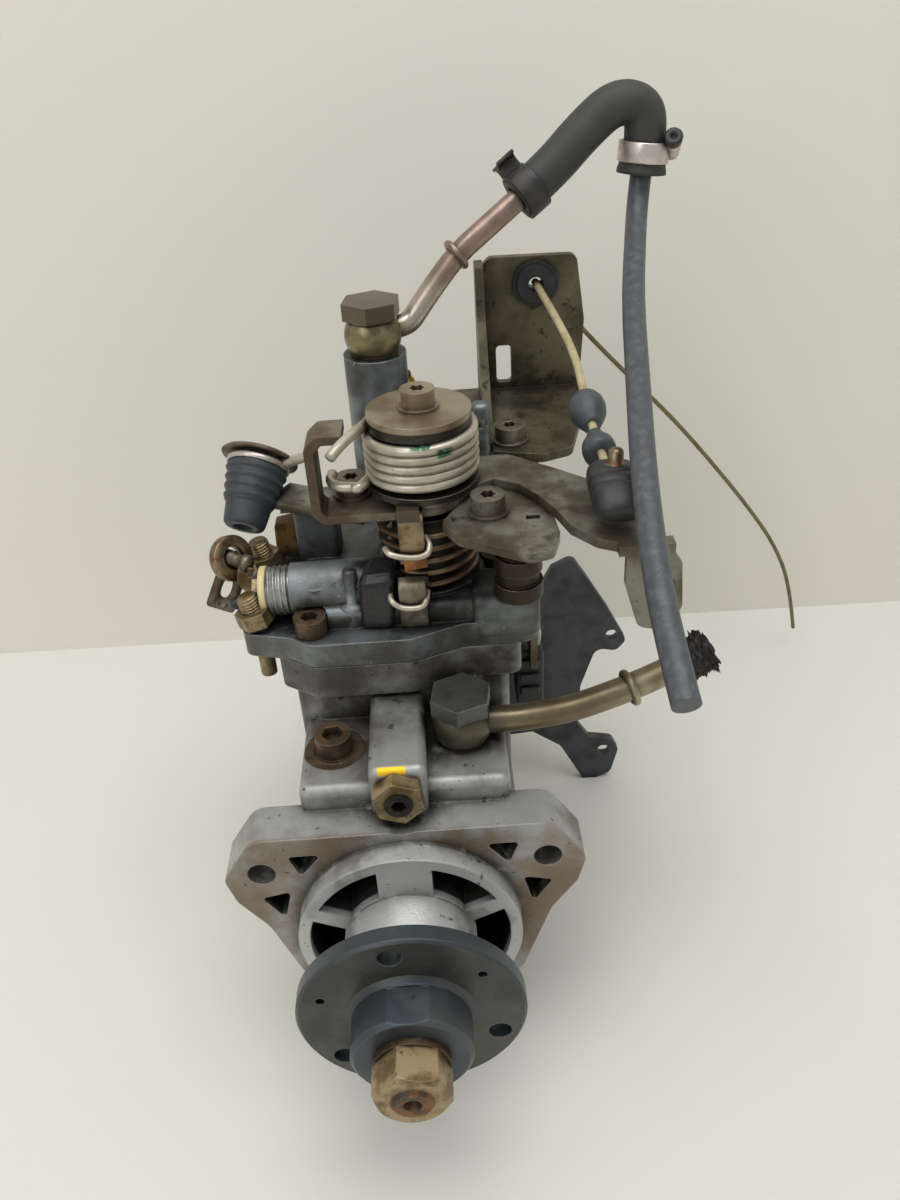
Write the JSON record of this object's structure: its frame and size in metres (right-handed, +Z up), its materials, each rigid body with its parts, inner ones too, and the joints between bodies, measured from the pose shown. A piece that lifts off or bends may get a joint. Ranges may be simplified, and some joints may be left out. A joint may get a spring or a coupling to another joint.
{
  "type": "diesel injection pump",
  "caption": "Distributor-type diesel injection pump with flanged drive end, governor cover, sprung throttle lever, brackets, banjo pipes, hoses and cables.",
  "frame": {"origin": "on the drive shaft's axis at the mounting flange's front face", "axes": "+Y to the rear along the shaft, away from the drive hub; +Z up through the governor cover; +X right seen from the drive end"},
  "size_m": [0.248, 0.2659, 0.2725],
  "materials": {
    "cast_alloy": "oiled, stained casting",
    "dark_steel": "blackened",
    "gold_steel": "yellow zinc, worn",
    "zinc_steel": "zinc, oiled",
    "rusty_steel": "rust-stained",
    "tempered_steel": "ground",
    "spring_steel": "bright wire",
    "bronze_wire": "oiled wire",
    "bracket_zinc": "speckled yellow zinc",
    "bracket_dark": "satin",
    "black_rubber": "matte",
    "black_plastic": "satin",
    "bronze": "turned",
    "cream_sleeve": "satin",
    "yellow_sleeve": "satin",
    "green_wire": "dull wire",
    "gasket_paper": "matte"
  },
  "bodies": {
    "pump_body": {"pump_housing": "cast_alloy", "shaft_bush": "bronze", "shaft_seal": "black_rubber", "vane_pump_ring": "tempered_steel", "governor_shaft": "dark_steel", "governor_shaft_nut": "gold_steel", "regulating_valve": "rusty_steel", "banjo_bolts": "gold_steel", "inlet_pipe": "zinc_steel", "hose_remnant": "black_rubber", "return_pipe": "zinc_steel", "return_elbow": "black_rubber", "return_hose": "black_rubber", "hose_clamps": "dark_steel", "governor_cover": "cast_alloy", "cover_gasket": "gasket_paper", "cap_screws": "rusty_steel", "torx_screws": "gold_steel", "distributor_head": "tempered_steel", "outlet_fittings": "zinc_steel", "fuel_solenoid": "gold_steel", "timing_covers": "cast_alloy", "cable_bracket": "bracket_zinc", "cable_grommet": "black_rubber", "accelerator_cable": "cream_sleeve", "rear_bracket": "bracket_dark", "adjusters": "gold_steel", "solenoid_wire": "yellow_sleeve", "cable_tail": "green_wire", "cable_boot": "black_rubber", "cable_clamp": "gold_steel", "internal_springs": "spring_steel", "upper_spring": "spring_steel", "lower_spring": "bronze_wire", "governor_spring": "spring_steel"},
    "drive_train": {"drive_shaft": "tempered_steel", "drive_hub": "dark_steel", "hub_washer": "rusty_steel", "hub_nut": "gold_steel", "vane_rotor": "tempered_steel", "drive_gear": "tempered_steel"},
    "cam_and_plunger": {"cam_plate": "tempered_steel", "plunger": "tempered_steel"},
    "roller_carrier": {"roller_ring": "tempered_steel"},
    "timing_piston": {"timing_piston": "tempered_steel"},
    "governor_rotor": {"governor_cage": "tempered_steel"},
    "flyweight_1": {"flyweight_1": "tempered_steel"},
    "flyweight_2": {"flyweight_2": "tempered_steel"},
    "flyweight_3": {"flyweight_3": "tempered_steel"},
    "flyweight_4": {"flyweight_4": "tempered_steel"},
    "governor_sleeve": {"governor_sleeve": "tempered_steel"},
    "governor_lever": {"governor_lever": "tempered_steel"},
    "control_sleeve": {"control_sleeve": "tempered_steel"},
    "throttle": {"throttle_shaft": "tempered_steel", "throttle_lever": "rusty_steel", "spring_cap": "rusty_steel", "ball_socket": "black_plastic", "stop_plate": "zinc_steel"},
    "idle_lever": {"idle_lever": "rusty_steel"},
    "stop_lever": {"stop_lever": "rusty_steel"}
  },
  "joints": [
    {"name": "drive_spin", "type": "hinge", "parent": "pump_body", "child": "drive_train", "pos_m": [0, 0, 0], "axis": [0, 1, 0], "continuous": true},
    {"name": "plunger_stroke", "type": "slide", "parent": "drive_train", "child": "cam_and_plunger", "axis": [0, 1, 0], "range_m": [-0.0022, 0]},
    {"name": "timing_piston_slide", "type": "slide", "parent": "pump_body", "child": "timing_piston", "axis": [1, 0, 0], "range_m": [-0.006, 0]},
    {"name": "roller_carrier_turn", "type": "hinge", "parent": "pump_body", "child": "roller_carrier", "pos_m": [0, 0.0615, 0], "axis": [0, 1, 0], "range_deg": [0, 8]},
    {"name": "governor_spin", "type": "hinge", "parent": "pump_body", "child": "governor_rotor", "pos_m": [0, 0.05, 0.04725], "axis": [0, 1, 0], "continuous": true},
    {"name": "governor_sleeve_slide", "type": "slide", "parent": "governor_rotor", "child": "governor_sleeve", "axis": [0, 1, 0], "range_m": [0, 0.0014]},
    {"name": "flyweight_1_swing", "type": "hinge", "parent": "governor_rotor", "child": "flyweight_1", "pos_m": [0.011, 0.058, 0.04725], "axis": [0, 0, -1], "range_deg": [0, 15]},
    {"name": "flyweight_2_swing", "type": "hinge", "parent": "governor_rotor", "child": "flyweight_2", "pos_m": [0, 0.058, 0.05825], "axis": [1, 0, 0], "range_deg": [0, 15]},
    {"name": "flyweight_3_swing", "type": "hinge", "parent": "governor_rotor", "child": "flyweight_3", "pos_m": [-0.011, 0.058, 0.04725], "axis": [0, 0, 1], "range_deg": [0, 15]},
    {"name": "flyweight_4_swing", "type": "hinge", "parent": "governor_rotor", "child": "flyweight_4", "pos_m": [0, 0.058, 0.03625], "axis": [-1, 0, 0], "range_deg": [0, 15]},
    {"name": "governor_lever_swing", "type": "hinge", "parent": "pump_body", "child": "governor_lever", "pos_m": [0, 0.0878, 0.022], "axis": [1, 0, 0], "range_deg": [-3.4, 0]},
    {"name": "control_sleeve_slide", "type": "slide", "parent": "pump_body", "child": "control_sleeve", "axis": [0, 1, 0], "range_m": [-0.0009, 0]},
    {"name": "throttle_turn", "type": "hinge", "parent": "pump_body", "child": "throttle", "pos_m": [0.0131, 0.0684, 0.1], "axis": [0, 0, 1], "range_deg": [0, 40], "stiffness_Nm_per_rad": 0.3, "springref_deg": -20.05, "deforming": ["accelerator_cable", "upper_spring", "lower_spring", "governor_spring"]},
    {"name": "idle_lever_turn", "type": "hinge", "parent": "pump_body", "child": "idle_lever", "pos_m": [0.0131, 0.0684, 0.11], "axis": [0, 0, 1], "range_deg": [0, 12], "stiffness_Nm_per_rad": 0.2, "springref_deg": -17.19},
    {"name": "stop_lever_turn", "type": "hinge", "parent": "pump_body", "child": "stop_lever", "pos_m": [0.0403, 0.074, 0.06], "axis": [1, 0, 0], "range_deg": [-30, 0], "stiffness_Nm_per_rad": 0.1, "springref_deg": 17.19}
  ],
  "couplings": [
    {"joint": "governor_spin", "follows": "drive_spin", "ratio": -1.52},
    {"joint": "roller_carrier_turn", "follows": "timing_piston_slide", "rad_per_m": -22.727},
    {"joint": "governor_lever_swing", "follows": "governor_sleeve_slide", "rad_per_m": -39.604},
    {"joint": "control_sleeve_slide", "follows": "governor_sleeve_slide", "ratio": -0.475},
    {"joint": "flyweight_1_swing", "follows": "governor_sleeve_slide", "rad_per_m": 166.67},
    {"joint": "flyweight_2_swing", "follows": "governor_sleeve_slide", "rad_per_m": 166.67},
    {"joint": "flyweight_3_swing", "follows": "governor_sleeve_slide", "rad_per_m": 166.67},
    {"joint": "flyweight_4_swing", "follows": "governor_sleeve_slide", "rad_per_m": 166.67}
  ]
}
